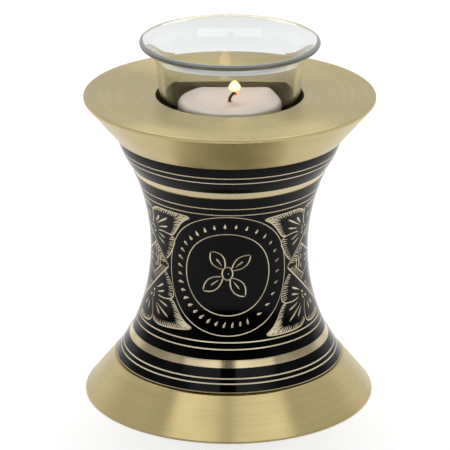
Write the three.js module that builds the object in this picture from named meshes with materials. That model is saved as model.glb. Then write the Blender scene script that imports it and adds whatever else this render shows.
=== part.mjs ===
// A tealight cremation urn: a waisted brass vessel under black enamel, a flared brass
// foot below it and a lid with a candle well on top, which holds a glass cup and a
// tealight candle. Millimetres, +Z up. The origin is the centre of the underside, and
// the medallion on the front faces -Y. Every piece is turned about the Z axis, except
// the wick, which leans towards +X.
import * as THREE from 'three';

// Facets round each piece and the steps in a rounded edge
const METAL_FACETS = 56;
const CUP_FACETS = 44;
const CANDLE_FACETS = 32;
const WICK_FACETS = 8;
const EDGE_STEPS = 2;

// Fits between pieces
const SEAT_GAP = 0.3;
const REGISTER_CLEARANCE = 0.4;
const WICK_CLEARANCE = 0.4;

// Foot: a flared skirt with a flange on top that carries the vessel
const FOOT_RADIUS = 54;
const FOOT_TOP_RADIUS = 43;
const FOOT_HEIGHT = 14.25;
const FOOT_RIM = 0.6;
const FOOT_WALL = 1.8;

// Vessel: straight lower flare, hollow-curved waist and slightly crowned upper flare
const VESSEL_BASE_RADIUS = 42.8;
const VESSEL_MOUTH_RADIUS = 41.5;
const VESSEL_HEIGHT = 86.1;
const VESSEL_WALL = 1.8;
const VESSEL_FLOOR = 2.2;
const WAIST_RADIUS = 29.3;
const WAIST_HEIGHT = 42.6;
const WAIST_CURVE_RADIUS = 78;
const WAIST_FROM = 10.8;
const WAIST_TO = 75.55;
const WAIST_STEPS = 9;
const MOUTH_CROWN = 0.5;
const MOUTH_STEPS = 4;
const VESSEL_EDGE = 0.4;
const VESSEL_REGISTER_RADIUS = 34;
const VESSEL_REGISTER_DEPTH = 1.5;

// Two bare bands turned through the enamel, each just below an end of the waist curve
const BAND_WIDTH = 2.6;
const BAND_DEPTH = 0.25;

// Lid: an inverted cone with a flat top, a candle well and a ring that drops into the mouth
const LID_RADIUS = 53.6;
const LID_BASE_RADIUS = 41.8;
const LID_HEIGHT = 15;
const LID_RIM = 1.1;
const LID_WALL = 1.8;
const LID_EDGE = 0.35;
const LID_REGISTER_DEPTH = 4;
const WELL_RADIUS = 27.1;
const WELL_DEPTH = 23.2;
const WELL_CORNER = 1.5;

// Glass cup: a tapered wall, a trumpet lip and a rounded rim
const CUP_BASE_RADIUS = 23.7;
const CUP_THROAT_RADIUS = 26.8;
const CUP_THROAT_HEIGHT = 33.4;
const CUP_LIP_CURVE_RADIUS = 10.2;
const CUP_LIP_ANGLE = 64;
const CUP_LIP_STEPS = 5;
const CUP_WALL = 2.2;
const CUP_FLOOR = 3;
const CUP_CORNER = 3;
const CUP_RIM_STEPS = 4;

// Tealight candle and its wick
const CANDLE_RADIUS = 19;
const CANDLE_HEIGHT = 18;
const CANDLE_EDGE = 1.6;
const POOL_RADIUS = 12;
const POOL_DEPTH = 1;
const WICK_RADIUS = 0.6;
const WICK_SOCKET_DEPTH = 3;
const WICK_RISE = 2.1;
const WICK_LEAN = 1.5;
const WICK_REACH = 3;
const WICK_DROOP = 0.7;
const WICK_STEPS = 12;

// Heights at which the pieces stand on each other
const VESSEL_Z = FOOT_HEIGHT + SEAT_GAP;
const LID_Z = VESSEL_Z + VESSEL_HEIGHT + SEAT_GAP;
const WELL_FLOOR = LID_HEIGHT - WELL_DEPTH;
const CUP_Z = LID_Z + WELL_FLOOR + SEAT_GAP;
const CANDLE_Z = CUP_Z + CUP_FLOOR + SEAT_GAP;

const BRASS = { color: 0xc4ae7c, metalness: 1, roughness: 0.35 };
const ENAMEL = { color: 0x121214, metalness: 0, roughness: 0.12 };
const GLASS = { color: 0xdfe6e2, metalness: 0, roughness: 0.03, transparent: true, opacity: 0.35 };
const WAX = { color: 0xe6d6c8, metalness: 0, roughness: 0.5 };
const CHAR = { color: 0x2e211b, metalness: 0, roughness: 0.9 };

const urn = new THREE.Group();

function addPiece(name, geometry, finish, height) {
  const piece = new THREE.Mesh(geometry, new THREE.MeshStandardMaterial(finish));
  piece.name = name;
  piece.position.z = height;
  urn.add(piece);
}

// Turns an outline of [radius, height] points about Z. The outline runs from the
// bottom outwards and up, then back inside, and ends on the axis or where it began.
function turned(outline, facets) {
  const points = outline.map(([radius, height]) => new THREE.Vector2(radius, height));
  return new THREE.LatheGeometry(points, facets).rotateX(Math.PI / 2);
}

// The arc that rounds the corner at b, on the way from a to c
function rounded(a, b, c, radius) {
  const corner = new THREE.Vector2(...b);
  const back = new THREE.Vector2(...a).sub(corner).normalize();
  const on = new THREE.Vector2(...c).sub(corner).normalize();
  const half = Math.acos(THREE.MathUtils.clamp(back.dot(on), -1, 1)) / 2;
  const centre = back.clone().add(on).setLength(radius / Math.sin(half)).add(corner);
  const from = back.multiplyScalar(radius / Math.tan(half)).add(corner).sub(centre);
  const to = on.multiplyScalar(radius / Math.tan(half)).add(corner).sub(centre);
  const sweep = Math.atan2(from.cross(to), from.dot(to));
  const points = [];
  for (let i = 0; i <= EDGE_STEPS; i += 1) {
    const spoke = from.clone().rotateAround(new THREE.Vector2(), sweep * i / EDGE_STEPS);
    points.push([centre.x + spoke.x, centre.y + spoke.y]);
  }
  return points;
}

// Horizontal width of a wall whose side leans by slope, radius per height
function leaningWall(wall, slope) {
  return wall * Math.hypot(1, slope);
}

function footOutline() {
  const slope = (FOOT_TOP_RADIUS - FOOT_RADIUS) / (FOOT_HEIGHT - FOOT_RIM);
  const width = leaningWall(FOOT_WALL, slope);
  const flangeBottom = FOOT_HEIGHT - FOOT_WALL;
  const flangeHole = VESSEL_REGISTER_RADIUS + REGISTER_CLEARANCE;
  const innerTop = FOOT_TOP_RADIUS - width - slope * FOOT_WALL;
  const start = [FOOT_RADIUS - width, 0];
  return [
    start,
    [FOOT_RADIUS, 0],
    [FOOT_RADIUS, FOOT_RIM],
    [FOOT_TOP_RADIUS, FOOT_HEIGHT],
    [flangeHole, FOOT_HEIGHT],
    [flangeHole, flangeBottom],
    [innerTop, flangeBottom],
    [FOOT_RADIUS - width, FOOT_RIM],
    start,
  ];
}

// Outer radius of the vessel at a height above its own underside
function vesselRadius(height) {
  const curveCentre = WAIST_RADIUS + WAIST_CURVE_RADIUS;
  const waist = (z) => curveCentre - Math.sqrt(WAIST_CURVE_RADIUS ** 2 - (z - WAIST_HEIGHT) ** 2);
  if (height < WAIST_FROM) {
    return THREE.MathUtils.mapLinear(height, 0, WAIST_FROM, VESSEL_BASE_RADIUS, waist(WAIST_FROM));
  }
  if (height > WAIST_TO) {
    const t = (height - WAIST_TO) / (VESSEL_HEIGHT - WAIST_TO);
    return THREE.MathUtils.lerp(waist(WAIST_TO), VESSEL_MOUTH_RADIUS, t) + 4 * MOUTH_CROWN * t * (1 - t);
  }
  return waist(height);
}

function vesselInnerRadius(height) {
  const step = 0.5;
  const slope = (vesselRadius(height + step) - vesselRadius(height - step)) / (2 * step);
  return vesselRadius(height) - leaningWall(VESSEL_WALL, slope);
}

function band(top) {
  const bottom = top - BAND_WIDTH;
  return [
    [vesselRadius(bottom), bottom],
    [vesselRadius(bottom) - BAND_DEPTH, bottom],
    [vesselRadius(top) - BAND_DEPTH, top],
    [vesselRadius(top), top],
  ];
}

function evenly(from, to, steps) {
  return Array.from({ length: steps + 1 }, (_, i) => THREE.MathUtils.lerp(from, to, i / steps));
}

function vesselOutline() {
  const upperBandFoot = WAIST_TO - BAND_WIDTH;
  const register = [VESSEL_REGISTER_RADIUS, 0];
  const base = [VESSEL_BASE_RADIUS, 0];
  const waist = evenly(WAIST_FROM, upperBandFoot, WAIST_STEPS).slice(1, -1);
  const flare = evenly(WAIST_TO, VESSEL_HEIGHT, MOUTH_STEPS).slice(1);
  const inside = evenly(VESSEL_FLOOR, VESSEL_HEIGHT, WAIST_STEPS + 2).reverse();
  return [
    [0, -VESSEL_REGISTER_DEPTH],
    [VESSEL_REGISTER_RADIUS, -VESSEL_REGISTER_DEPTH],
    register,
    ...rounded(register, base, [vesselRadius(WAIST_FROM), WAIST_FROM], VESSEL_EDGE),
    ...band(WAIST_FROM),
    ...waist.map((z) => [vesselRadius(z), z]),
    ...band(WAIST_TO),
    ...flare.map((z) => [vesselRadius(z), z]),
    ...inside.map((z) => [vesselInnerRadius(z), z]),
    [0, VESSEL_FLOOR],
  ];
}

function lidOutline() {
  const slope = (LID_RADIUS - LID_BASE_RADIUS) / (LID_HEIGHT - LID_RIM);
  const width = leaningWall(LID_WALL, slope);
  const plateBottom = LID_HEIGHT - LID_WALL;
  const registerRadius = vesselInnerRadius(VESSEL_HEIGHT - LID_REGISTER_DEPTH) - REGISTER_CLEARANCE;
  const registerInside = registerRadius - LID_WALL;
  const wellBottom = WELL_FLOOR - LID_WALL;
  const seat = [registerRadius, 0];
  const base = [LID_BASE_RADIUS, 0];
  const rimFoot = [LID_RADIUS, LID_HEIGHT - LID_RIM];
  const rimTop = [LID_RADIUS, LID_HEIGHT];
  const wellTop = [WELL_RADIUS, LID_HEIGHT];
  const wellCorner = [WELL_RADIUS, WELL_FLOOR];
  const wellCentre = [0, WELL_FLOOR];
  return [
    [0, wellBottom],
    [WELL_RADIUS + LID_WALL, wellBottom],
    [WELL_RADIUS + LID_WALL, plateBottom],
    [LID_BASE_RADIUS + slope * plateBottom - width, plateBottom],
    [LID_BASE_RADIUS + slope * LID_WALL - width, LID_WALL],
    [registerInside, LID_WALL],
    [registerInside, -LID_REGISTER_DEPTH],
    [registerRadius, -LID_REGISTER_DEPTH],
    seat,
    ...rounded(seat, base, rimFoot, LID_EDGE),
    rimFoot,
    ...rounded(rimFoot, rimTop, wellTop, LID_EDGE),
    ...rounded(rimTop, wellTop, wellCorner, LID_EDGE),
    ...rounded(wellTop, wellCorner, wellCentre, WELL_CORNER),
    wellCentre,
  ];
}

function cupOutline() {
  const taper = Math.atan2(CUP_THROAT_RADIUS - CUP_BASE_RADIUS, CUP_THROAT_HEIGHT);
  const lip = THREE.MathUtils.degToRad(CUP_LIP_ANGLE);
  const curveX = CUP_THROAT_RADIUS + CUP_LIP_CURVE_RADIUS * Math.cos(taper);
  const curveZ = CUP_THROAT_HEIGHT - CUP_LIP_CURVE_RADIUS * Math.sin(taper);
  const onCurve = (radius, angle) => [
    curveX - radius * Math.cos(angle),
    curveZ + radius * Math.sin(angle),
  ];
  const [rimX, rimZ] = onCurve(CUP_LIP_CURVE_RADIUS + CUP_WALL / 2, lip);
  const angles = evenly(taper, lip, CUP_LIP_STEPS);
  const rimAngles = evenly(-lip, Math.PI - lip, CUP_RIM_STEPS).slice(1, -1);
  const innerBase = CUP_BASE_RADIUS + CUP_FLOOR * Math.tan(taper) - CUP_WALL / Math.cos(taper);
  const outerThroat = onCurve(CUP_LIP_CURVE_RADIUS, taper);
  const innerThroat = onCurve(CUP_LIP_CURVE_RADIUS + CUP_WALL, taper);
  return [
    [0, 0],
    ...rounded([0, 0], [CUP_BASE_RADIUS, 0], outerThroat, CUP_CORNER),
    ...angles.map((angle) => onCurve(CUP_LIP_CURVE_RADIUS, angle)),
    ...rimAngles.map((angle) => [
      rimX + CUP_WALL / 2 * Math.cos(angle),
      rimZ + CUP_WALL / 2 * Math.sin(angle),
    ]),
    ...angles.reverse().map((angle) => onCurve(CUP_LIP_CURVE_RADIUS + CUP_WALL, angle)),
    ...rounded(innerThroat, [innerBase, CUP_FLOOR], [0, CUP_FLOOR], CUP_WALL),
    [0, CUP_FLOOR],
  ];
}

function candleOutline() {
  const socket = WICK_RADIUS + WICK_CLEARANCE;
  const foot = [CANDLE_RADIUS, 0];
  const shoulder = [CANDLE_RADIUS, CANDLE_HEIGHT];
  const poolEdge = [POOL_RADIUS, CANDLE_HEIGHT];
  const poolFloor = CANDLE_HEIGHT - POOL_DEPTH;
  return [
    [0, 0],
    foot,
    ...rounded(foot, shoulder, poolEdge, CANDLE_EDGE),
    poolEdge,
    [POOL_RADIUS / 2, poolFloor],
    [socket, poolFloor],
    [socket, CANDLE_HEIGHT - WICK_SOCKET_DEPTH],
    [0, CANDLE_HEIGHT - WICK_SOCKET_DEPTH],
  ];
}

// A bent tube that starts in the candle's socket, rises, leans over and droops
function wickGeometry() {
  const path = new THREE.CatmullRomCurve3([
    new THREE.Vector3(0, 0, SEAT_GAP - WICK_SOCKET_DEPTH),
    new THREE.Vector3(0, 0, 0),
    new THREE.Vector3(WICK_LEAN / 2, 0, WICK_RISE * 0.65),
    new THREE.Vector3(WICK_LEAN, 0, WICK_RISE),
    new THREE.Vector3(WICK_REACH, 0, WICK_RISE - WICK_DROOP),
  ]);
  const section = new THREE.Shape();
  for (let i = 0; i < WICK_FACETS; i += 1) {
    const angle = 2 * Math.PI * i / WICK_FACETS;
    const point = [WICK_RADIUS * Math.cos(angle), WICK_RADIUS * Math.sin(angle)];
    if (i === 0) {
      section.moveTo(...point);
    } else {
      section.lineTo(...point);
    }
  }
  return new THREE.ExtrudeGeometry(section, { steps: WICK_STEPS, extrudePath: path });
}

addPiece('foot', turned(footOutline(), METAL_FACETS), BRASS, 0);
addPiece('vessel', turned(vesselOutline(), METAL_FACETS), ENAMEL, VESSEL_Z);
addPiece('lid', turned(lidOutline(), METAL_FACETS), BRASS, LID_Z);
addPiece('glass_cup', turned(cupOutline(), CUP_FACETS), GLASS, CUP_Z);
addPiece('candle', turned(candleOutline(), CANDLE_FACETS), WAX, CANDLE_Z);
addPiece('wick', wickGeometry(), CHAR, CANDLE_Z + CANDLE_HEIGHT);

export default urn;
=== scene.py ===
import math
import random

import bmesh
import bpy
import numpy as np
from mathutils import Matrix, Vector
from mathutils.geometry import delaunay_2d_cdt


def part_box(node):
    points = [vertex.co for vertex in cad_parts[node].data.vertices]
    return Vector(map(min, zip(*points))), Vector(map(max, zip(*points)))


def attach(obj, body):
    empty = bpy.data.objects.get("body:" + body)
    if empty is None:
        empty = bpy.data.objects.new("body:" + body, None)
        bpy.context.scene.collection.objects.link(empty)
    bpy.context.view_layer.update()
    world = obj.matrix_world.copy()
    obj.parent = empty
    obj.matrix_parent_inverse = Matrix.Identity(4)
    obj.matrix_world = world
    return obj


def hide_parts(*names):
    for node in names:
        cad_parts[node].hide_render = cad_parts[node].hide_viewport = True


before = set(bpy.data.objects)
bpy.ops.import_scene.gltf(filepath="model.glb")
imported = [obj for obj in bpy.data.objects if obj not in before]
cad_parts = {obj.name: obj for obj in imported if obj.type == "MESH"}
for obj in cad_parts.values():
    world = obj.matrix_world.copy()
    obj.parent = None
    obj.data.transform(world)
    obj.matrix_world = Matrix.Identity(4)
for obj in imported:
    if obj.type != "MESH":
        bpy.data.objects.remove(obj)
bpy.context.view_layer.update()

MM = 0.001
SEGMENTS = 256


def top(node):
    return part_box(node)[1].z / MM


def bottom(node):
    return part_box(node)[0].z / MM


def reach(node):
    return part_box(node)[1].x / MM


# Foot and lid
WALL = 1.8
FIT = 0.4
FOOT_RADIUS = reach("foot")
FOOT_TOP_RADIUS = 43
FOOT_TOP = top("foot")
FOOT_RIM = 0.6
LID_RADIUS = reach("lid")
LID_BASE_RADIUS = 41.8
LID_TOP = top("lid")
LID_HEIGHT = 15
LID_RIM = 1.1
LID_BASE = LID_TOP - LID_HEIGHT
WELL_RADIUS = 27.1
WELL_FLOOR = bottom("lid") + WALL

# Vessel: heights of its curve are above its base, where it stands on the foot
REGISTER_RADIUS = 34
REGISTER_DEPTH = 1.5
VESSEL_BASE = bottom("vessel") + REGISTER_DEPTH
VESSEL_TOP = top("vessel")
VESSEL_FLOOR = 2.2
VESSEL_BASE_RADIUS = reach("vessel")
VESSEL_MOUTH_RADIUS = 41.5
WAIST_RADIUS = 29.3
WAIST_HEIGHT = 42.6
WAIST_CURVE_RADIUS = 78
WAIST_FROM = 10.8
WAIST_TO = 75.55
MOUTH_CROWN = 0.5
LID_REGISTER_DEPTH = 4
HEEL_ROUNDING = 0.4
SKIN_STEP = 1.2
INSIDE_STEPS = 60
FACES_ALIKE = 0.985

# Bare bands and thin lines turned through the enamel, by height
BAND_WIDTH = 2.6
BAND_DEPTH = 0.22
BAND_EDGE = 0.02
BAND_TOPS = (VESSEL_BASE + WAIST_FROM, VESSEL_BASE + WAIST_TO)
LINE_HEIGHTS = (17.8, 19.45, 28.9, 83.0, 94.75, 96.95)
LINE_WIDTH = 0.42
LINE_DEPTH = 0.1
LOWER_PANEL_LINE = 31.3
UPPER_PANEL_LINE = 80.4
PANEL_BASE = LOWER_PANEL_LINE + LINE_WIDTH / 2
PANEL_TOP = UPPER_PANEL_LINE - LINE_WIDTH / 2

# Glass cup
CUP_BASE = bottom("glass_cup")
CUP_BASE_RADIUS = 23.7
CUP_THROAT_RADIUS = 26.8
CUP_THROAT_HEIGHT = 33.4
CUP_LIP_CURVE_RADIUS = 10.2
CUP_LIP_ANGLE = math.radians(64)
CUP_WALL = 2.2
CUP_FLOOR = 3
CUP_HEEL = 3
CUP_INNER_HEEL = 2.2
CUP_LIP_STEPS = 14
CUP_RIM_STEPS = 12

# Candle, wick and flame
CANDLE_RADIUS = reach("candle")
CANDLE_BASE = bottom("candle")
CANDLE_TOP = top("candle")
CANDLE_EDGE = 1.6
POOL_RADIUS = 12
POOL_DEPTH = 1.0
SOCKET_RADIUS = 1
SOCKET_DEPTH = 3
WICK_RADIUS = 0.52
WICK_TOP = (1.5, CANDLE_TOP + 2.1)
WICK_TIP = (2.9, CANDLE_TOP + 1.45)
FLAME_RADIUS = 2.6
FLAME_HEIGHT = 6.6
FLAME_ASIDE = 1.75
FLAME_BASE = CANDLE_TOP + 2.6


# Turned shapes

def softened(corners, steps=4):
    """Points of an outline of (radius, height, rounding) corners, with an arc at each rounded one."""
    points = []
    for i, (r, z, rounding) in enumerate(corners):
        corner = Vector((r, z))
        if not rounding:
            points.append((r, z))
            continue
        back = (Vector(corners[i - 1][:2]) - corner).normalized()
        on = (Vector(corners[(i + 1) % len(corners)][:2]) - corner).normalized()
        half = back.angle(on) / 2
        centre = corner + (back + on).normalized() * rounding / math.sin(half)
        start = corner + back * rounding / math.tan(half) - centre
        end = corner + on * rounding / math.tan(half) - centre
        sweep = math.atan2(start.x * end.y - start.y * end.x, start.dot(end))
        for k in range(steps + 1):
            points.append(tuple(centre + Matrix.Rotation(sweep * k / steps, 2) @ start))
    return points


def around(r, z, azimuth):
    """Place at an azimuth from the front, which is -Y, towards the right, which is +X."""
    return Vector((r * math.sin(azimuth), -r * math.cos(azimuth), z)) * MM


def rings(outline, start=0.0, segments=SEGMENTS, closed=False):
    """Vertices and faces of an outline of (radius, height) points turned about Z."""
    points = []
    first = []
    for r, z in outline:
        first.append(len(points))
        count = 1 if r == 0 else segments
        points += [around(r, z, start + math.tau * j / segments) for j in range(count)]
    faces = []
    pairs = [(i, i + 1) for i in range(len(outline) - 1)]
    if closed:
        pairs.append((len(outline) - 1, 0))
    for low, high in pairs:
        for j in range(segments):
            k = (j + 1) % segments
            if outline[low][0] == 0:
                faces.append((first[low], first[high] + k, first[high] + j))
            elif outline[high][0] == 0:
                faces.append((first[low] + j, first[low] + k, first[high]))
            else:
                faces.append((first[low] + j, first[low] + k, first[high] + k, first[high] + j))
    return points, faces


def piece(name, points, faces, *materials):
    mesh = bpy.data.meshes.new(name)
    mesh.from_pydata(points, [], faces)
    for material in materials:
        mesh.materials.append(material)
    mesh.shade_smooth()
    made = bpy.data.objects.new(name, mesh)
    bpy.context.scene.collection.objects.link(made)
    return made


def stands_for(made, node):
    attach(made, "root")
    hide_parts(node)


def turned(name, outline, material, closed=False):
    """A turned piece whose broad faces keep their own shading beside the rounded edges."""
    points, faces = rings(outline, closed=closed)
    made = piece(name, points, faces, material)
    made.modifiers.new("Broad faces", "WEIGHTED_NORMAL")
    return made


# Materials

def blank(name):
    made = bpy.data.materials.new(name)
    made.use_nodes = True
    return made, made.node_tree, made.node_tree.nodes["Principled BSDF"]


def add(tree, kind, inputs, **settings):
    """A node whose inputs are plain values or the output sockets that feed them."""
    made = tree.nodes.new(kind)
    for key, value in settings.items():
        setattr(made, key, value)
    for key, value in inputs.items():
        if isinstance(value, bpy.types.NodeSocket):
            tree.links.new(value, made.inputs[key])
        else:
            made.inputs[key].default_value = value
    return made


def ramp(tree, value, stops):
    made = add(tree, "ShaderNodeValToRGB", {"Fac": value})
    for _ in stops[2:]:
        made.color_ramp.elements.new(0.5)
    for element, (place, colour) in zip(made.color_ramp.elements, stops):
        element.position = place
        element.color = (*colour, 1)
    return made.outputs["Color"]


def turning_marks(tree):
    """Noise drawn out round the Z axis, as a lathe tool and polishing cloth leave it."""
    place = add(tree, "ShaderNodeTexCoord", {}).outputs["Object"]
    parts = add(tree, "ShaderNodeSeparateXYZ", {"Vector": place}).outputs
    flat = add(tree, "ShaderNodeCombineXYZ", {"X": parts["X"], "Y": parts["Y"]}).outputs[0]
    radius = add(tree, "ShaderNodeVectorMath", {0: flat}, operation="LENGTH").outputs["Value"]
    turn = add(tree, "ShaderNodeVectorMath", {0: flat}, operation="NORMALIZE").outputs[0]
    slow = add(tree, "ShaderNodeVectorMath", {0: turn, "Scale": 0.0012}, operation="SCALE").outputs[0]
    across = add(tree, "ShaderNodeCombineXYZ", {"X": radius, "Z": parts["Z"]}).outputs[0]
    drawn = add(tree, "ShaderNodeVectorMath", {0: across, 1: slow}, operation="ADD").outputs[0]
    fine = add(tree, "ShaderNodeTexNoise", {"Vector": drawn, "Scale": 700, "Detail": 2}).outputs[0]
    broad = add(tree, "ShaderNodeTexNoise", {"Vector": place, "Scale": 45, "Detail": 4}).outputs[0]
    return fine, broad


def brass(name, roughness, stretch, dull, clean):
    """Brass between a dull and a clean colour, with its reflections stretched across the turning."""
    made, tree, shader = blank(name)
    fine, broad = turning_marks(tree)
    mixed = add(tree, "ShaderNodeMath", {0: fine, 1: broad}, operation="MULTIPLY").outputs[0]
    colour = ramp(tree, mixed, [(0.1, dull), (0.4, clean)])
    rough = add(tree, "ShaderNodeMapRange", {
        "Value": broad, "From Min": 0.3, "From Max": 0.7,
        "To Min": roughness - 0.05, "To Max": roughness + 0.06,
    }).outputs["Result"]
    bump = add(tree, "ShaderNodeBump", {"Height": fine, "Strength": 0.2, "Distance": 0.00002})
    tangent = add(tree, "ShaderNodeTangent", {}, direction_type="RADIAL", axis="Z")
    tree.links.new(colour, shader.inputs["Base Color"])
    tree.links.new(rough, shader.inputs["Roughness"])
    tree.links.new(bump.outputs[0], shader.inputs["Normal"])
    tree.links.new(tangent.outputs[0], shader.inputs["Tangent"])
    shader.inputs["Metallic"].default_value = 1
    shader.inputs["Anisotropic"].default_value = stretch
    shader.inputs["Anisotropic Rotation"].default_value = 0.25
    return made


def enamel():
    made, tree, shader = blank("enamel")
    place = add(tree, "ShaderNodeTexCoord", {}).outputs["Object"]
    ripple = add(tree, "ShaderNodeTexNoise", {"Vector": place, "Scale": 160, "Detail": 2}).outputs[0]
    wipe = add(tree, "ShaderNodeTexNoise", {"Vector": place, "Scale": 30, "Detail": 5}).outputs[0]
    rough = add(tree, "ShaderNodeMapRange", {
        "Value": wipe, "From Min": 0.35, "From Max": 0.7, "To Min": 0.05, "To Max": 0.10,
    }).outputs["Result"]
    colour = ramp(tree, wipe, [(0.3, (0.0002, 0.0002, 0.0003)), (0.7, (0.0006, 0.0006, 0.0008))])
    bump = add(tree, "ShaderNodeBump", {"Height": ripple, "Strength": 0.05, "Distance": 0.0002})
    tree.links.new(colour, shader.inputs["Base Color"])
    tree.links.new(rough, shader.inputs["Roughness"])
    tree.links.new(bump.outputs[0], shader.inputs["Normal"])
    shader.inputs["Specular IOR Level"].default_value = 0.1
    return made


def glass(name, colour, clearness, roughness):
    made, _, shader = blank(name)
    shader.inputs["Base Color"].default_value = (*colour, 1)
    shader.inputs["Transmission Weight"].default_value = clearness
    shader.inputs["Roughness"].default_value = roughness
    shader.inputs["IOR"].default_value = 1.45
    return made


def wax():
    made, tree, shader = blank("wax")
    place = add(tree, "ShaderNodeTexCoord", {}).outputs["Object"]
    mottle = add(tree, "ShaderNodeTexNoise", {"Vector": place, "Scale": 120, "Detail": 4}).outputs[0]
    colour = ramp(tree, mottle, [(0.3, (0.86, 0.72, 0.62)), (0.7, (0.93, 0.80, 0.70))])
    bump = add(tree, "ShaderNodeBump", {"Height": mottle, "Strength": 0.25, "Distance": 0.0006})
    tree.links.new(colour, shader.inputs["Base Color"])
    tree.links.new(bump.outputs[0], shader.inputs["Normal"])
    shader.inputs["Roughness"].default_value = 0.42
    shader.inputs["Subsurface Weight"].default_value = 0.5
    shader.inputs["Subsurface Radius"].default_value = (1.0, 0.55, 0.35)
    shader.inputs["Subsurface Scale"].default_value = 0.004
    return made


def char():
    made, tree, shader = blank("wick")
    place = add(tree, "ShaderNodeTexCoord", {}).outputs["Object"]
    twist = add(tree, "ShaderNodeTexNoise", {"Vector": place, "Scale": 2200, "Detail": 3}).outputs[0]
    colour = ramp(tree, twist, [(0.35, (0.012, 0.008, 0.006)), (0.7, (0.09, 0.045, 0.025))])
    aside = add(tree, "ShaderNodeSeparateXYZ", {"Vector": place}).outputs["X"]
    tip = WICK_TIP[0] * MM
    ember = add(tree, "ShaderNodeMapRange", {
        "Value": aside, "From Min": tip - 0.8 * MM, "From Max": tip + 0.2 * MM,
        "To Min": 0.0, "To Max": 6.0,
    }).outputs["Result"]
    bump = add(tree, "ShaderNodeBump", {"Height": twist, "Strength": 0.6, "Distance": 0.0001})
    tree.links.new(colour, shader.inputs["Base Color"])
    tree.links.new(ember, shader.inputs["Emission Strength"])
    tree.links.new(bump.outputs[0], shader.inputs["Normal"])
    shader.inputs["Emission Color"].default_value = (1.0, 0.16, 0.02, 1)
    shader.inputs["Roughness"].default_value = 0.9
    return made


def fire():
    made, tree, shader = blank("flame")
    height = add(tree, "ShaderNodeSeparateXYZ", {
        "Vector": add(tree, "ShaderNodeTexCoord", {}).outputs["Generated"],
    }).outputs["Z"]
    colour = ramp(tree, height, [
        (0.0, (1.0, 0.36, 0.06)), (0.25, (1.0, 0.70, 0.32)),
        (0.7, (1.0, 0.78, 0.40)), (1.0, (1.0, 0.52, 0.12)),
    ])
    edge = add(tree, "ShaderNodeLayerWeight", {"Blend": 0.35}).outputs["Facing"]
    strength = add(tree, "ShaderNodeMapRange", {
        "Value": edge, "From Min": 0.0, "From Max": 0.7, "To Min": 3.6, "To Max": 1.1,
    }).outputs["Result"]
    tree.links.new(colour, shader.inputs["Emission Color"])
    tree.links.new(strength, shader.inputs["Emission Strength"])
    shader.inputs["Base Color"].default_value = (0, 0, 0, 1)
    return made


# Engraving

# A cut is a list of (place, half width) on the unrolled waist, where u runs to the right from
# the middle of a medallion and v runs up. Every cut is a shallow V, and the pattern comes
# twice in the whole turn.

MEDALLION_HEIGHT = 56.6
PATTERN_TURN = math.radians(-1.2)
PATTERN_MIDDLE = -0.9
QUARTER_ROUND = math.pi * WAIST_RADIUS / 2
PANEL_ROWS = 32
CUT_SLOPE = 0.4
CUT_EDGE = 0.015
HATCH_PITCH = 0.95
HATCH_WIDTH = 0.42
BORDER_PITCH = 1.0
BORDER_WIDTH = 0.44
OUTER_RING = 23.0
INNER_RING = 15.8
DROP_SHAPE = ((0, 0), (0.14, 0.8), (0.32, 1), (0.7, 0.55), (1, 0))
PETAL_SHAPE = ((0, 0.1), (0.18, 0.62), (0.42, 0.98), (0.66, 0.92), (0.86, 0.5), (1, 0))
PETALS = (((-6.0, 8.6), 4.9), ((8.5, 7.0), 4.2), ((-9.0, -7.0), 4.6), ((6.4, -8.9), 4.8))
TICKS = 34
HAND = random.Random(5)


def curve(points, spacing=0.7):
    """A smooth line through points, as closely spaced points."""
    knots = [Vector(p) for p in points]
    knots = [2 * knots[0] - knots[1], *knots, 2 * knots[-1] - knots[-2]]
    line = []
    for a, b, c, d in zip(knots, knots[1:], knots[2:], knots[3:]):
        count = max(1, round((c - b).length / spacing))
        for t in np.arange(count) / count:
            bend = (2 * a - 5 * b + 4 * c - d) + (3 * (b - c) + d - a) * t
            line.append(b + ((c - a) + bend * t) * t / 2)
    return [*line, knots[-2]]


def along(line, share):
    """The point at a share of a line's length."""
    steps = [(b - a).length for a, b in zip(line, line[1:])]
    left = share * sum(steps)
    for a, b, step in zip(line, line[1:], steps):
        if left <= step:
            return a.lerp(b, left / step)
        left -= step
    return line[-1]


def pen(points, width, taper=0.7):
    """An even cut that runs to a point at both ends."""
    line = curve(points)
    steps = [0, *((b - a).length for a, b in zip(line, line[1:]))]
    run = np.cumsum(steps)
    return [
        (p, width / 2 * max(0.0, min(1, s / taper, (run[-1] - s) / taper)))
        for p, s in zip(line, run)
    ]


def drop(fat, thin, width):
    """A cut that starts fat and runs out thin."""
    fat, thin = Vector(fat), Vector(thin)
    return [(fat.lerp(thin, t), width / 2 * share) for t, share in DROP_SHAPE]


def hatch(inner, outer, pitch=HATCH_PITCH, width=HATCH_WIDTH):
    """Close slanting cuts from one line to another."""
    inner = curve(inner, 0.3)
    outer = curve(outer, 0.3)
    run = max(sum((b - a).length for a, b in zip(line, line[1:])) for line in (inner, outer))
    count = round(run / pitch)
    cuts = []
    for i in range(count + 1):
        share = min(1, max(0, (i + HAND.uniform(-0.2, 0.2)) / count))
        start = along(outer, share)
        end = along(inner, share)
        end = start.lerp(end, HAND.uniform(0.86, 1.08))
        cuts.append(drop(start, end, width * HAND.uniform(0.85, 1.15)))
    return cuts


def circle(radius, width, count):
    turns = [math.tau * k / count for k in range(count)]
    return [(Vector((radius * math.cos(t), radius * math.sin(t))), width / 2) for t in turns]


def petal(tip, width):
    """A pointed leaf from the flower's ring to its tip, with a stroke down its middle."""
    tip = Vector(tip)
    across = Vector((-tip.y, tip.x)).normalized() * width / 2
    base = tip * 0.2
    strokes = []
    for side in (-1, 1):
        edge = [base.lerp(tip, t) + across * side * share for t, share in PETAL_SHAPE]
        strokes.append(pen(edge, 0.44, 0.25))
    return [*strokes, drop(tip * 0.68, tip * 0.32, 0.6)]


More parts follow.
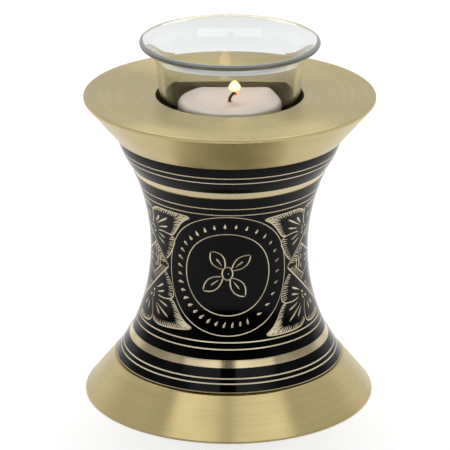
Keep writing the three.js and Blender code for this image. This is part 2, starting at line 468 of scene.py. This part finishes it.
def tick_ring():
    """Short fat strokes between the medallion's two rings, which turn as they go round."""
    cuts = []
    for k in range(TICKS):
        run = 13.2 * k - 0.083 * k * k
        turn = math.radians(run - 54)
        lean = math.radians(12 + 0.34 * run + 0.00122 * run * run)
        middle = Vector((math.cos(turn), math.sin(turn))) * (19.1 + 0.5 * math.cos(turn))
        half_length = HAND.uniform(0.95, 1.15) - 0.12 * math.cos(turn)
        half = Vector((math.cos(lean), math.sin(lean))) * half_length
        if run > 200:
            half.negate()
        cuts.append(drop(middle - half, middle + half, 0.88 - 0.22 * math.cos(turn)))
    return cuts


def medallion():
    cuts = []
    for tip, width in PETALS:
        cuts += petal(tip, width)
    return [*cuts, drop((0.2, 0.2), (0.5, -0.4), 0.4), *tick_ring()]


def corner_lobe():
    """The lobe that points into the panel's corner."""
    inner = [(23.2, 13.2), (22.0, 14.6), (20.9, 16.6), (20.2, 18.6), (19.6, 20.3)]
    outer = [(22.4, 12.8), (20.9, 13.6), (19.4, 15.6), (17.2, 18.6), (14.6, 20.9)]
    edge = [(22.9, 12.7), (21.0, 13.5), (19.3, 15.6), (17.2, 18.5), (15.2, 20.4), (12.7, 22.1)]
    return [
        *hatch(inner, outer), pen(edge, 0.5),
        drop((12.9, 22.1), (18.2, 19.6), 0.9), drop((13.6, 22.2), (19.4, 20.4), 0.7),
    ]


def upper_border():
    """The hatched border below the panel's upper line."""
    inner = [(17.5, 21.0), (20.5, 20.8), (24.5, 21.1), (28.2, 21.0), (30.4, 19.9)]
    outer = [(15.2, 22.5), (18.6, 22.8), (22.8, 23.0), (27.0, 22.8), (29.9, 21.6)]
    edge = [(13.0, 22.3), (16, 22.7), (20, 22.9), (24, 23.0), (27.2, 22.8), (29.4, 22.0), (30.9, 20.9)]
    return [*hatch(inner, outer, BORDER_PITCH, BORDER_WIDTH), pen(edge, 0.45)]


def medallion_lobe():
    """The lobe that lies along the medallion."""
    inner = [(26.9, 3.5), (25.7, 5.6), (24.7, 7.7), (24.1, 9.6), (23.9, 11.3)]
    outer = [(25.6, 2.5), (23.8, 4.9), (22.3, 7.4), (21.3, 9.6), (21.2, 11.9)]
    edge = [(25.9, 2.4), (23.6, 5.0), (22.1, 7.5), (21.0, 9.9), (21.0, 11.6), (22.0, 12.6),
            (24.2, 13.1), (27.0, 13.2), (29.8, 12.8)]
    return [*hatch(inner, outer), pen(edge, 0.42)]


def diamond_lobe():
    """The lobe that reaches towards the diamond's upper corner."""
    edge = [(33.4, 14.6), (32.3, 16.8), (31.4, 19.4), (31.3, 21.4), (32.2, 22.7), (35, 23.1),
            (39, 23.0), (42.6, 22.4)]
    inner = [(33.4, 21.2), (36, 21.6), (40.4, 20.9)]
    outer = [(32.4, 22.4), (35.6, 23.0), (41.8, 22.4)]
    return [pen(edge, 0.45), *hatch(inner, outer, BORDER_PITCH, BORDER_WIDTH)]


def drops(shapes):
    """Drops from (fat end, thin end, width) rows."""
    return [drop(fat, thin, width) for fat, thin, width in shapes]


def corner_flower():
    """A flower between a medallion and a diamond, as it lies at the upper right."""
    veins = drops((
        ((26.6, 8.1), (31.0, 10.4), 0.8), ((25.9, 10.6), (30.4, 11.9), 0.7),
        ((23.4, 15.9), (29.2, 14.3), 0.65), ((22.6, 19.7), (30.4, 15.2), 0.65),
        ((27.2, 19.4), (30.5, 16.0), 0.85), ((35.0, 19.4), (35.1, 16.2), 0.8),
        ((38.2, 18.6), (36.7, 15.8), 0.7),
    ))
    seeds = drops((((32.1, 11.4), (33.2, 11.9), 0.95), ((34.2, 13.4), (35.1, 14.1), 0.95)))
    seeds.append(pen([(32.5, 12.3), (32.3, 13.6), (33.0, 14.4)], 0.45, 0.3))
    return [*corner_lobe(), *upper_border(), *medallion_lobe(), *veins, *diamond_lobe(), *seeds]


def quarter_diamond():
    """A quarter of the diamond between two medallions, up and left of its middle."""
    side = Vector((-21.6, 0))
    peak = Vector((0, 20.8))
    lower_inner = [(-17.0, 0.8), (-14.2, 3.1), (-11.4, 5.4)]
    lower_outer = [(-20.0, 1.2), (-16.4, 4.4), (-12.8, 7.4)]
    upper_inner = [(-8.6, 8.8), (-5.6, 12.4), (-2.6, 15.6)]
    upper_outer = [(-10.8, 9.4), (-6.6, 13.6), (-1.8, 18.2)]
    veins = drops((
        ((-15.9, 2.2), (-15.9, -0.6), 0.7), ((-14.2, 2.4), (-14.2, -2.6), 0.8),
        ((-12.6, 2.8), (-12.5, 0.4), 0.6), ((-9.6, 1.0), (-3.4, 0.6), 0.6),
        ((-5.6, 9.4), (-2.4, 3.6), 0.65), ((-1.2, 12.6), (-0.9, 4.0), 0.6),
        ((-2.0, 1.8), (-1.2, 1.0), 0.9),
    ))
    return [
        pen([side, side.lerp(peak, 0.5), peak], 0.6, 0.2),
        pen([(-17.2, 0.6), (-14.2, 3.2), (-11.0, 5.6)], 0.4),
        *hatch(lower_inner, lower_outer), *hatch(upper_inner, upper_outer),
        pen([(-13.2, 7.2), (-9.4, 4.6), (-6.2, 2.6), (-2.2, 1.2)], 0.5), *veins,
    ]


def laid(cuts, place, mirror=(1, 1), turn=0.0, pivot=(0, 0)):
    """Cuts that are turned about a pivot, mirrored and moved to a place."""
    pivot = Vector(pivot)
    spin = Matrix.Rotation(turn, 2)
    moved = []
    for cut in cuts:
        line = []
        for p, half in cut:
            q = spin @ (p - pivot) + pivot
            line.append((Vector((place[0] + mirror[0] * q.x, place[1] + mirror[1] * q.y)), half))
        moved.append(line)
    return moved


def half_pattern():
    """Open and closed cuts of half the circumference, with a medallion in the middle."""
    open_cuts = medallion()
    corners = ((1, -1, -0.035), (1, 1, 0.01), (-1, -1, 0.075), (-1, 1, -0.015))
    for across, up, turn in corners:
        open_cuts += laid(corner_flower(), (0, PATTERN_MIDDLE), (across, up), turn, (33.2, 12.8))
    for centre in (-QUARTER_ROUND, QUARTER_ROUND):
        for across in (-1, 1):
            for up in (-1, 1):
                open_cuts += laid(quarter_diamond(), (centre, PATTERN_MIDDLE), (across, up))
    closed_cuts = [circle(OUTER_RING, 0.28, 176), circle(INNER_RING, 0.36, 124)]
    closed_cuts.append([(Vector((p.x * 1.95, p.y * 2.5)), 0.24) for p, _ in circle(1, 1, 22)])
    return open_cuts, closed_cuts


def into_cut(places, starts, ends, start_halves, end_halves):
    """How far each place lies inside a cut: the half width there less the way to its middle."""
    deepest = np.zeros(len(places))
    runs = ends - starts
    lengths = np.maximum((runs ** 2).sum(1), 1e-12)
    batch = 2000
    for i in range(0, len(places), batch):
        to = places[i:i + batch, None, :] - starts[None]
        share = np.clip((to * runs).sum(2) / lengths, 0, 1)
        away = np.sqrt(((to - share[:, :, None] * runs) ** 2).sum(2))
        halves = start_halves + (end_halves - start_halves) * share
        deepest[i:i + batch] = np.maximum(halves - away, 0).max(1)
    return deepest


def cut_edges(cut, closed):
    """The two edges of a cut, from its line and half widths."""
    line = [p for p, _ in cut]
    left, right = [], []
    for i, (p, half) in enumerate(cut):
        before = line[i - 1] if closed or i else p
        after = line[(i + 1) % len(line)] if closed or i + 1 < len(line) else p
        way = (after - before).normalized()
        out = Vector((-way.y, way.x)) * half
        left.append(p + out)
        right.append(p - out)
    return left, right


def panel_grid(low, high):
    """Columns and rows of the flat panel, and the places inside it, staggered row by row."""
    grid_u = np.linspace(-QUARTER_ROUND, QUARTER_ROUND, SEGMENTS // 2 + 1)
    grid_v = np.linspace(low, high, PANEL_ROWS + 1)
    inside = []
    for i, v in enumerate(grid_v[1:-1]):
        inside += [Vector((u, v)) for u in grid_u[1 + i % 2:-1:2]]
    return grid_u, grid_v, inside


def panel_mesh(low, high):
    """Flat mesh of half the engraved panel: (u, v, depth) points, triangles and which are cut."""
    points, edges, segments = [], [], []

    def chain(line, closed=False):
        first = len(points)
        points.extend(line)
        count = len(line)
        edges.extend((first + i, first + i + 1) for i in range(count - 1))
        if closed:
            edges.append((first + count - 1, first))

    for cuts, closed in zip(half_pattern(), (False, True)):
        for cut in cuts:
            left, right = cut_edges(cut, closed)
            if closed:
                chain(left, True)
                chain(right, True)
            else:
                chain(left + right[-2:0:-1], True)
            chain([p for p, _ in cut], closed)
            pairs = zip(cut, cut[1:] + cut[:1] if closed else cut[1:])
            segments.extend((a, b, x, y) for (a, x), (b, y) in pairs)

    grid_u, grid_v, grid_inside = panel_grid(low, high)
    for v in (low, high):
        chain([Vector((u, v)) for u in grid_u])
    for u in (grid_u[0], grid_u[-1]):
        chain([Vector((u, v)) for v in grid_v])
    points += grid_inside

    flat, _, faces, *_ = delaunay_2d_cdt(points, edges, [], 0, 1e-5)
    places = np.array([tuple(p) for p in flat])
    cuts = [np.array([tuple(s[i]) for s in segments]) for i in (0, 1)]
    cuts += [np.array([s[i] for s in segments]) for i in (2, 3)]
    corners = np.array(faces)
    middles = places[corners].mean(1)
    inside = (abs(middles[:, 0]) < QUARTER_ROUND) & (middles[:, 1] > low) & (middles[:, 1] < high)
    corners = corners[inside]
    is_cut = into_cut(middles[inside], *cuts) > CUT_EDGE
    depth = into_cut(places, *cuts) * CUT_SLOPE
    return np.column_stack([places, depth]), corners, is_cut


# Vessel

def vessel_radius(z):
    """Outer radius of the vessel at a height."""
    height = z - VESSEL_BASE

    def waist(h):
        drop_back = math.sqrt(WAIST_CURVE_RADIUS ** 2 - (h - WAIST_HEIGHT) ** 2)
        return WAIST_RADIUS + WAIST_CURVE_RADIUS - drop_back

    if height < WAIST_FROM:
        share = height / WAIST_FROM
        return VESSEL_BASE_RADIUS + (waist(WAIST_FROM) - VESSEL_BASE_RADIUS) * share
    if height > WAIST_TO:
        share = (height - WAIST_TO) / (VESSEL_TOP - VESSEL_BASE - WAIST_TO)
        straight = waist(WAIST_TO) + (VESSEL_MOUTH_RADIUS - waist(WAIST_TO)) * share
        return straight + 4 * MOUTH_CROWN * share * (1 - share)
    return waist(height)


def below_skin(place):
    """How far a place on the vessel lies under its outer surface."""
    x, y, z = place
    if VESSEL_BASE - 0.01 < z < VESSEL_TOP + 0.01:
        return abs(math.hypot(x, y) - vessel_radius(z))
    return WALL


def vessel_slope(z):
    step = 0.05
    z = min(max(z, VESSEL_BASE + step), VESSEL_TOP - step)
    return (vessel_radius(z + step) - vessel_radius(z - step)) / (2 * step)


def inner_radius(z):
    return vessel_radius(z) - WALL * math.hypot(1, vessel_slope(z))


def skin(low, high):
    """Outline points of the outer surface between two heights, with the turned lines and bands."""
    stops = [(low, 0.0)]
    for z in LINE_HEIGHTS:
        if low < z < high:
            stops += [(z - LINE_WIDTH / 2, 0.0), (z, LINE_DEPTH), (z + LINE_WIDTH / 2, 0.0)]
    for z in BAND_TOPS:
        if low < z < high:
            stops += [(z - BAND_WIDTH, 0.0), (z - BAND_WIDTH + BAND_EDGE, BAND_DEPTH)]
            stops += [(z - BAND_EDGE, BAND_DEPTH), (z, 0.0)]
    stops = sorted([*stops, (high, 0.0)])
    outline = []
    for (z, depth), (after, after_depth) in zip(stops, stops[1:]):
        steps = max(1, math.ceil((after - z) / SKIN_STEP))
        for i in range(steps):
            share = i / steps
            at = z + (after - z) * share
            outline.append((vessel_radius(at) - depth - (after_depth - depth) * share, at))
    return [*outline, (vessel_radius(high), high)]


def below_panel():
    """Outline from the middle of the underside to the panel, with the panel's lower line."""
    underside = VESSEL_BASE - REGISTER_DEPTH
    above_heel = VESSEL_BASE + 3
    heel = softened([
        (REGISTER_RADIUS, VESSEL_BASE, 0),
        (VESSEL_BASE_RADIUS, VESSEL_BASE, HEEL_ROUNDING),
        (vessel_radius(above_heel), above_heel, 0),
    ])[1:-1]
    return [
        (0, underside), (REGISTER_RADIUS, underside), (REGISTER_RADIUS, VESSEL_BASE), *heel,
        *skin(heel[-1][1] + 0.05, LOWER_PANEL_LINE - LINE_WIDTH / 2),
        (vessel_radius(LOWER_PANEL_LINE) - LINE_DEPTH, LOWER_PANEL_LINE),
        (vessel_radius(PANEL_BASE), PANEL_BASE),
    ]


def above_panel():
    """Outline from the panel over the mouth and down the inside to the middle of the floor."""
    floor_top = VESSEL_BASE + VESSEL_FLOOR
    return [
        (vessel_radius(PANEL_TOP), PANEL_TOP),
        (vessel_radius(UPPER_PANEL_LINE) - LINE_DEPTH, UPPER_PANEL_LINE),
        *skin(UPPER_PANEL_LINE + LINE_WIDTH / 2, VESSEL_TOP),
        *((inner_radius(z), z) for z in np.linspace(VESSEL_TOP, floor_top, INSIDE_STEPS)),
        (0, floor_top),
    ]


def finish_by_depth(mesh, polygon):
    """Number of the finish: whole enamel, a thin line through it, or a bare band and the inside."""
    deepest = max(below_skin(mesh.vertices[i].co / MM) for i in polygon.vertices)
    if deepest < LINE_DEPTH / 2:
        return 0
    if deepest < (LINE_DEPTH + BAND_DEPTH) / 2:
        return 1
    return 2


def vessel(enamel_finish, cut_finish, bare_finish):
    points, faces = [], []
    for outline in (below_panel(), above_panel()):
        ring_points, ring_faces = rings(outline, PATTERN_TURN)
        faces += [tuple(len(points) + i for i in face) for face in ring_faces]
        points += ring_points
    cut = [None] * len(faces)
    flat, corners, is_cut = panel_mesh(PANEL_BASE - MEDALLION_HEIGHT, PANEL_TOP - MEDALLION_HEIGHT)
    for half_turn in (0, math.pi):
        first = len(points)
        for u, v, depth in flat:
            z = v + MEDALLION_HEIGHT
            slope = vessel_slope(z)
            sunk = depth / math.hypot(1, slope)
            azimuth = PATTERN_TURN + half_turn + u / WAIST_RADIUS
            points.append(around(vessel_radius(z) - sunk, z + sunk * slope, azimuth))
        faces += [tuple(first + int(i) for i in face) for face in corners]
        cut += list(is_cut)

    mesh = bpy.data.meshes.new("vessel_body")
    mesh.from_pydata(points, [], faces)
    for finish in (enamel_finish, cut_finish, bare_finish):
        mesh.materials.append(finish)
    for polygon, is_cut_through in zip(mesh.polygons, cut):
        if is_cut_through is None:
            polygon.material_index = finish_by_depth(mesh, polygon)
        else:
            polygon.material_index = int(is_cut_through)
    weld(mesh)
    shade_as_turned(mesh)
    made = bpy.data.objects.new("vessel_body", mesh)
    bpy.context.scene.collection.objects.link(made)
    return made


def weld(mesh):
    """Joins the mesh's vertices where its parts meet."""
    work = bmesh.new()
    work.from_mesh(mesh)
    bmesh.ops.remove_doubles(work, verts=work.verts, dist=3e-6)
    work.to_mesh(mesh)
    work.free()


def shade_as_turned(mesh):
    """Gives the skin and the inside their true turned normals, and leaves every cut its facets."""
    mesh.shade_smooth()
    normals = np.zeros((len(mesh.loops), 3))
    for polygon in mesh.polygons:
        flat = polygon.normal
        for loop in polygon.loop_indices:
            x, y, z = mesh.vertices[mesh.loops[loop].vertex_index].co / MM
            radius = math.hypot(x, y)
            normals[loop] = flat
            if radius < 1:
                continue
            slope = vessel_slope(z)
            out = Vector((x / radius, y / radius, -slope)).normalized()
            for way in (out, -out):
                if flat.dot(way) > FACES_ALIKE:
                    normals[loop] = way
    mesh.normals_split_custom_set(normals)


# Other pieces

def foot(finish):
    slope = (FOOT_TOP_RADIUS - FOOT_RADIUS) / (FOOT_TOP - FOOT_RIM)
    width = WALL * math.hypot(1, slope)
    inner_top = FOOT_TOP_RADIUS - width - slope * WALL
    return turned("foot_skirt", softened([
        (FOOT_RADIUS - width, 0, 0.25),
        (FOOT_RADIUS, 0, 0.25),
        (FOOT_RADIUS, FOOT_RIM, 0.7),
        (FOOT_TOP_RADIUS, FOOT_TOP, 0.45),
        (REGISTER_RADIUS + FIT, FOOT_TOP, 0.2),
        (REGISTER_RADIUS + FIT, FOOT_TOP - WALL, 0.2),
        (inner_top, FOOT_TOP - WALL, 0.8),
        (FOOT_RADIUS - width, FOOT_RIM, 0.3),
    ]), finish, closed=True)


def lid(finish):
    slope = (LID_RADIUS - LID_BASE_RADIUS) / (LID_HEIGHT - LID_RIM)
    width = WALL * math.hypot(1, slope)
    plate = LID_TOP - WALL
    register = inner_radius(VESSEL_TOP - LID_REGISTER_DEPTH) - FIT
    return turned("lid_body", softened([
        (0, WELL_FLOOR - WALL, 0),
        (WELL_RADIUS + WALL, WELL_FLOOR - WALL, 0.8),
        (WELL_RADIUS + WALL, plate, 0.5),
        (LID_BASE_RADIUS + slope * (plate - LID_BASE) - width, plate, 0.5),
        (LID_BASE_RADIUS + slope * WALL - width, LID_BASE + WALL, 0.3),
        (register - WALL, LID_BASE + WALL, 0.3),
        (register - WALL, LID_BASE - LID_REGISTER_DEPTH, 0.25),
        (register, LID_BASE - LID_REGISTER_DEPTH, 0.25),
        (register, LID_BASE, 0.1),
        (LID_BASE_RADIUS, LID_BASE, 0.5),
        (LID_RADIUS, LID_TOP - LID_RIM, 0.25),
        (LID_RADIUS, LID_TOP, 0.35),
        (WELL_RADIUS, LID_TOP, 0.45),
        (WELL_RADIUS, WELL_FLOOR, 1.5),
        (0, WELL_FLOOR, 0),
    ]), finish)


def glass_cup(finish, under_rim_painted_reflection_finish, rim_painted_highlight_finish):
    """A tapered cup whose round rim has finishes of its own: the upper half part matte and pale as a
    painted highlight, the lower half part matte and brass-tinted as a painted reflection of the brass
    below.
    """
    taper = math.atan2(CUP_THROAT_RADIUS - CUP_BASE_RADIUS, CUP_THROAT_HEIGHT)
    curve_r = CUP_THROAT_RADIUS + CUP_LIP_CURVE_RADIUS * math.cos(taper)
    curve_z = CUP_BASE + CUP_THROAT_HEIGHT - CUP_LIP_CURVE_RADIUS * math.sin(taper)

    def on_curve(radius, angle):
        return curve_r - radius * math.cos(angle), curve_z + radius * math.sin(angle)

    lip = np.linspace(taper, CUP_LIP_ANGLE, CUP_LIP_STEPS)
    half_wall = CUP_WALL / 2
    rim_r, rim_z = on_curve(CUP_LIP_CURVE_RADIUS + half_wall, CUP_LIP_ANGLE)
    rim = [(rim_r + half_wall * math.cos(a), rim_z + half_wall * math.sin(a))
           for a in np.linspace(-CUP_LIP_ANGLE, math.pi - CUP_LIP_ANGLE, CUP_RIM_STEPS)[1:-1]]
    inner_base = CUP_BASE_RADIUS + CUP_FLOOR * math.tan(taper) - CUP_WALL / math.cos(taper)
    outer_throat = on_curve(CUP_LIP_CURVE_RADIUS, taper)
    inner_throat = on_curve(CUP_LIP_CURVE_RADIUS + CUP_WALL, taper)
    outer_heel = softened([(0, CUP_BASE, 0), (CUP_BASE_RADIUS, CUP_BASE, CUP_HEEL),
                           (*outer_throat, 0)], 8)[:-1]
    inner_heel = softened([(*inner_throat, 0), (inner_base, CUP_BASE + CUP_FLOOR, CUP_INNER_HEEL),
                           (0, CUP_BASE + CUP_FLOOR, 0)], 8)[1:]
    outside = [*outer_heel, *(on_curve(CUP_LIP_CURVE_RADIUS, a) for a in lip)]
    inside = [*(on_curve(CUP_LIP_CURVE_RADIUS + CUP_WALL, a) for a in lip[::-1]), *inner_heel]
    made = piece("glass_tealight_cup", *rings([*outside, *rim, *inside]),
                 finish, under_rim_painted_reflection_finish, rim_painted_highlight_finish)
    rim_from = len(outside) - 1
    rim_to = len(outside) + len(rim)
    for polygon in made.data.polygons:
        step = polygon.index // SEGMENTS
        if rim_from <= step < rim_to:
            # Lower half of the rim: brass-tinted glass, a painted reflection; upper half: pale glass,
            # a painted highlight.
            polygon.material_index = 1 if step < (rim_from + rim_to) // 2 else 2
    return made


def unevenness(x, y):
    """How far the warm wax stands above or below its level at a place."""
    lump = 1.3 * math.exp(-((x - 14) ** 2 / 12 + (y - 9) ** 2 / 20))
    slump = 0.35 * math.exp(-((x + 3) ** 2 / 40 + (y + 5) ** 2 / 14))
    wave = 0.12 * math.sin(0.4 * x + 1.2) * math.cos(0.33 * y)
    return lump - slump + wave - 0.1


def candle(finish):
    inside = [(r, CANDLE_TOP - POOL_DEPTH * (1 - (r / POOL_RADIUS) ** 2))
              for r in (11.5, 10, 8, 6, 4, 2.5, 1.5)]
    rim = [(r, CANDLE_TOP) for r in (16.6, 15.4, 14.2, 13, POOL_RADIUS)]
    outline = softened([(0, CANDLE_BASE, 0), (CANDLE_RADIUS, CANDLE_BASE, 0.8),
                        (CANDLE_RADIUS, CANDLE_TOP, CANDLE_EDGE), (0, CANDLE_TOP, 0)], 6)[:-1]
    socket = [(SOCKET_RADIUS, CANDLE_TOP - POOL_DEPTH), (SOCKET_RADIUS, CANDLE_TOP - SOCKET_DEPTH),
              (0, CANDLE_TOP - SOCKET_DEPTH)]
    made = piece("wax_tealight", *rings([*outline, *rim, *inside, *socket]), finish)
    for vertex in made.data.vertices:
        x, y, z = vertex.co / MM
        if z > CANDLE_TOP - 2 and math.hypot(x, y) > SOCKET_RADIUS + 0.1:
            vertex.co.z += unevenness(x, y) * MM
    return made


def swept(name, line, radii, finish, facets=14):
    """A round rod along a line in the X-Z plane, closed at both ends."""
    points = []
    for i, (x, z) in enumerate(line):
        before, after = line[max(i - 1, 0)], line[min(i + 1, len(line) - 1)]
        way = Vector((after[0] - before[0], 0, after[1] - before[1])).normalized()
        side = Vector((0, 1, 0))
        up = way.cross(side)
        for k in range(facets):
            a = math.tau * k / facets
            wobble = 1 + 0.08 * math.sin(3 * a + 1.7 * i)
            offset = (side * math.cos(a) + up * math.sin(a)) * radii[i] * wobble
            points.append((Vector((x, 0, z)) + offset) * MM)
    faces = []
    for i in range(len(line) - 1):
        for k in range(facets):
            n = (k + 1) % facets
            row, above = i * facets, (i + 1) * facets
            faces.append((row + k, row + n, above + n, above + k))
    faces.append(tuple(range(facets - 1, -1, -1)))
    faces.append(tuple(range(len(points) - facets, len(points))))
    return piece(name, points, faces, finish)


def wick(finish):
    """A rod that rises, bends over to the right and thins along the last fifth of its way."""
    halfway = (WICK_TOP[0] / 2, CANDLE_TOP + 1.35)
    path = curve([(0, bottom("wick")), (0, CANDLE_TOP), halfway, WICK_TOP, WICK_TIP], 0.3)
    shares = [i / (len(path) - 1) for i in range(len(path))]
    radii = [WICK_RADIUS * (1 - 0.35 * max(0, share - 0.8) / 0.2) for share in shares]
    return swept("burnt_wick", [tuple(p) for p in path], radii, finish)


def flame(finish):
    """The flame's body of light, which leans over the wick's tip."""
    outline = [(0, 0)]
    for t in np.linspace(0, 1, 22)[1:-1]:
        share = math.sin(math.pi * t ** 0.72) ** 0.62 * (1 - 0.3 * t)
        outline.append((FLAME_RADIUS * share, FLAME_HEIGHT * t))
    outline.append((0, FLAME_HEIGHT))
    points, faces = rings(outline, segments=32)
    made = piece("flame", points, faces, finish)
    for vertex in made.data.vertices:
        vertex.co += Vector((FLAME_ASIDE, 0, FLAME_BASE)) * MM
    return made


# Stage

def floor():
    made, tree, shader = blank("floor")
    shader.inputs["Base Color"].default_value = (0.92, 0.92, 0.92, 1)
    shader.inputs["Roughness"].default_value = 0.9
    shader.inputs["Specular IOR Level"].default_value = 0
    shader.inputs["Emission Color"].default_value = (1, 1, 1, 1)
    shader.inputs["Emission Strength"].default_value = 0.18
    half = 4.0
    corners = [(-half, -half, 0), (half, -half, 0), (half, half, 0), (-half, half, 0)]
    piece("floor", corners, [(0, 1, 2, 3)], made)


def soft_light(name, place, target, width, depth, power):
    data = bpy.data.lights.new(name, "AREA")
    data.shape = "RECTANGLE"
    data.size = width
    data.size_y = depth
    data.energy = power
    light = bpy.data.objects.new(name, data)
    light.location = place
    light.rotation_euler = (Vector(target) - Vector(place)).to_track_quat("-Z", "Y").to_euler()
    bpy.context.scene.collection.objects.link(light)


def surroundings():
    """A pale room: bright behind and brightest half to the side, and dark in front."""
    world = bpy.data.worlds.new("room")
    world.use_nodes = True
    bpy.context.scene.world = world
    tree = world.node_tree
    way = add(tree, "ShaderNodeTexCoord", {}).outputs["Generated"]
    parts = add(tree, "ShaderNodeSeparateXYZ", {"Vector": way}).outputs
    shade = add(tree, "ShaderNodeMapRange", {
        "Value": parts["Y"], "From Min": -0.9, "From Max": 0.2, "To Min": 0.09, "To Max": 1.0,
    }, interpolation_type="SMOOTHSTEP").outputs["Result"]
    aside = add(tree, "ShaderNodeMath", {0: parts["X"]}, operation="ABSOLUTE").outputs[0]
    dimmed = ramp(tree, aside, [
        (0.5, (0.78, 0.78, 0.78)), (0.7, (1, 1, 1)), (0.82, (1, 1, 1)), (0.92, (0.4, 0.4, 0.4)),
    ])
    strength = add(tree, "ShaderNodeMath", {0: shade, 1: dimmed}, operation="MULTIPLY").outputs[0]
    tree.links.new(strength, tree.nodes["Background"].inputs["Strength"])
    tree.nodes["Background"].inputs["Color"].default_value = (1, 1, 1, 1)


def camera():
    place = Vector((0, -1085.8, 465.7)) * MM
    aim = Vector((-1.595, 0.888, 64.387)) * MM
    roll = 0.0029
    data = bpy.data.cameras.new("camera")
    data.sensor_width = 36
    data.lens = 249.2
    made = bpy.data.objects.new("camera", data)
    turn = (aim - place).to_track_quat("-Z", "Y").to_matrix().to_4x4()
    made.matrix_world = Matrix.Translation(place) @ turn @ Matrix.Rotation(roll, 4, "Z")
    bpy.context.scene.collection.objects.link(made)
    bpy.context.scene.camera = made


# The urn, its stage and its light

turned_brass = brass("turned_brass", 0.32, 0.75, (0.47, 0.375, 0.180), (0.54, 0.435, 0.215))
cut_brass = brass("cut_brass", 0.34, 0.0, (0.54, 0.46, 0.31), (0.64, 0.56, 0.40))
band_brass = brass("band_brass", 0.17, 0.5, (0.50, 0.41, 0.25), (0.58, 0.49, 0.31))
stands_for(foot(turned_brass), "foot")
stands_for(lid(turned_brass), "lid")
stands_for(vessel(enamel(), cut_brass, band_brass), "vessel")
clear_glass = glass("clear_glass", (0.765, 0.78, 0.78), 1.0, 0.0)
# Part-matte pale glass on the rim's upper half: a painted highlight along the rim.
rim_painted_highlight_glass = glass("rim_painted_highlight_glass", (0.74, 0.76, 0.70), 0.68, 0.06)
# Part-matte brass-tinted glass on the rim's lower half: a painted reflection of the brass seen through
# the lip.
under_rim_painted_reflection_glass = glass("under_rim_painted_reflection_glass", (0.74, 0.73, 0.58), 0.84, 0.06)
stands_for(glass_cup(clear_glass, under_rim_painted_reflection_glass, rim_painted_highlight_glass), "glass_cup")
stands_for(candle(wax()), "candle")
stands_for(wick(char()), "wick")
light_body = flame(fire())
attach(light_body, "root")

floor()
surroundings()
soft_light("left_softbox", (-0.405, -0.625, 0.854), (0, 0, 0.05), 0.76, 0.6, 2.15)
soft_light("right_softbox", (0.409, -0.629, 0.854), (0, 0, 0.05), 0.82, 0.6, 2.5)
soft_light("back_softbox", (0.0, 0.45, 0.75), (0, 0, 0.1), 0.6, 0.3, 2.4)
camera()
bpy.context.scene.view_settings.view_transform = "Standard"
